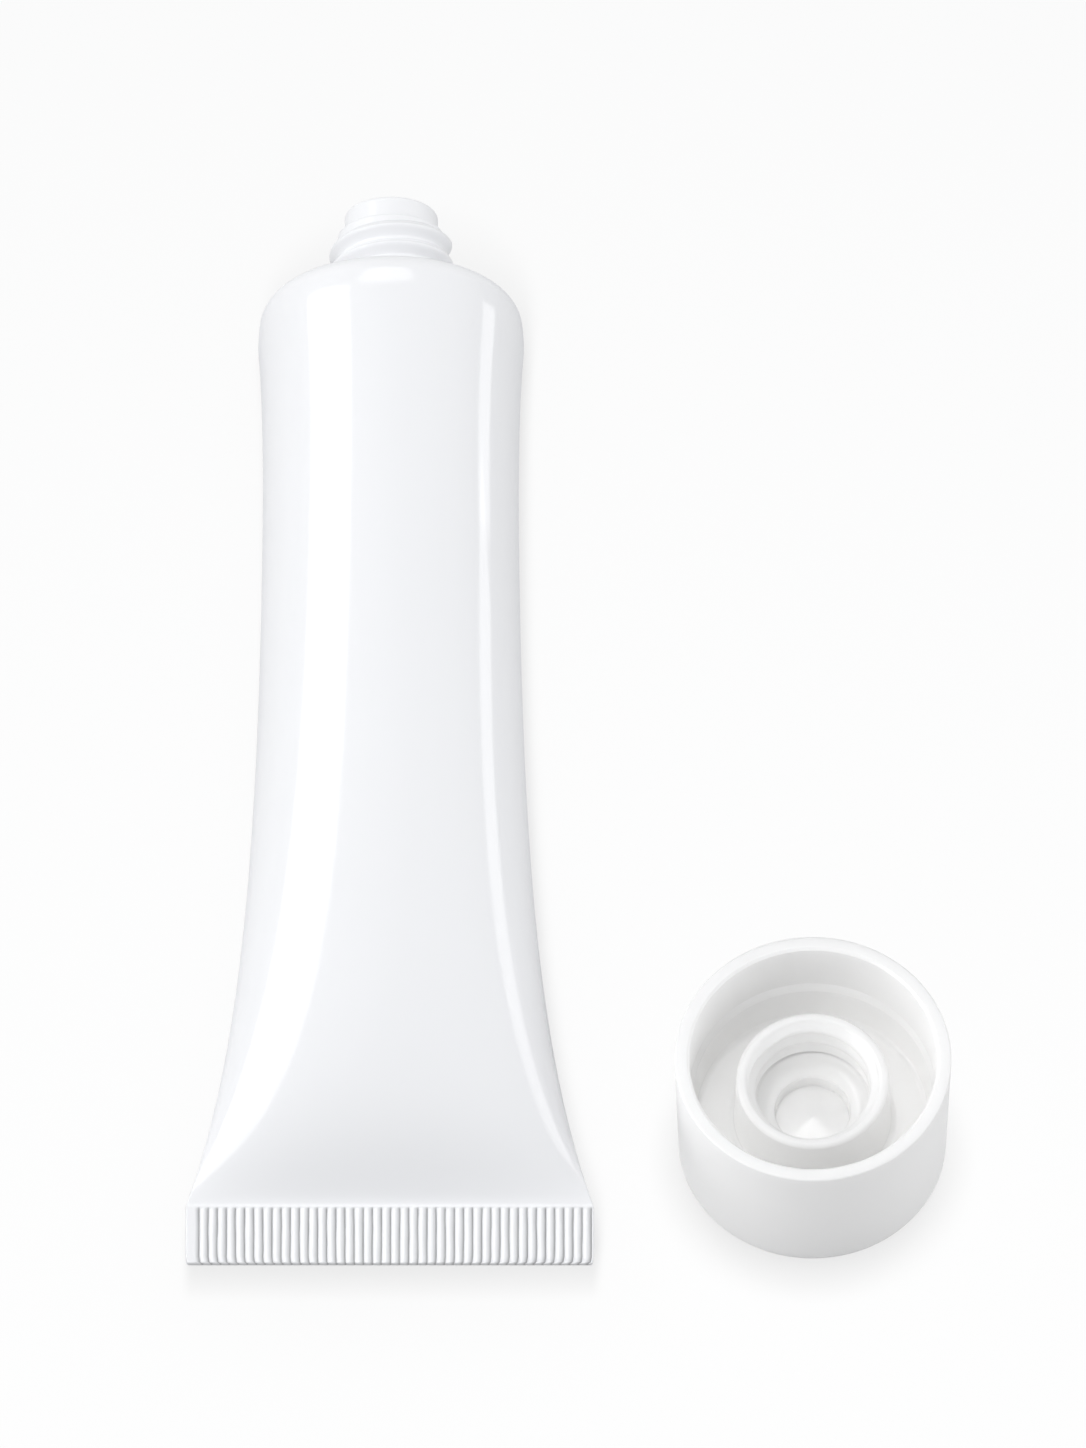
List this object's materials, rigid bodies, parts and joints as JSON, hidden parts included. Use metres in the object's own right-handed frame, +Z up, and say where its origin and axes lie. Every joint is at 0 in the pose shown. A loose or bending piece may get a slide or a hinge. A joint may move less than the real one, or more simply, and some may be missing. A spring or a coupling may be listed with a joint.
{
  "type": "squeeze tube",
  "caption": "Soft plastic squeeze tube, welded flat and ribbed at one end, with a threaded neck at the other and its screw cap taken off beside it.",
  "frame": {"origin": "middle of the underside of the whole object's box, on the surface that the tube lies on and the cap stands on", "axes": "+Y along the lying tube from its sealed end towards its neck, +Z up, +X from the tube towards the cap"},
  "size_m": [0.0864, 0.1338, 0.0307],
  "materials": {
    "sleeve": "glossy white extruded polyethylene",
    "head": "glossy white moulded polyethylene",
    "cap": "glossy white moulded polypropylene"
  },
  "bodies": {
    "root": {"tube_sleeve": "sleeve", "tube_head": "head", "screw_cap": "cap"}
  },
  "joints": []
}
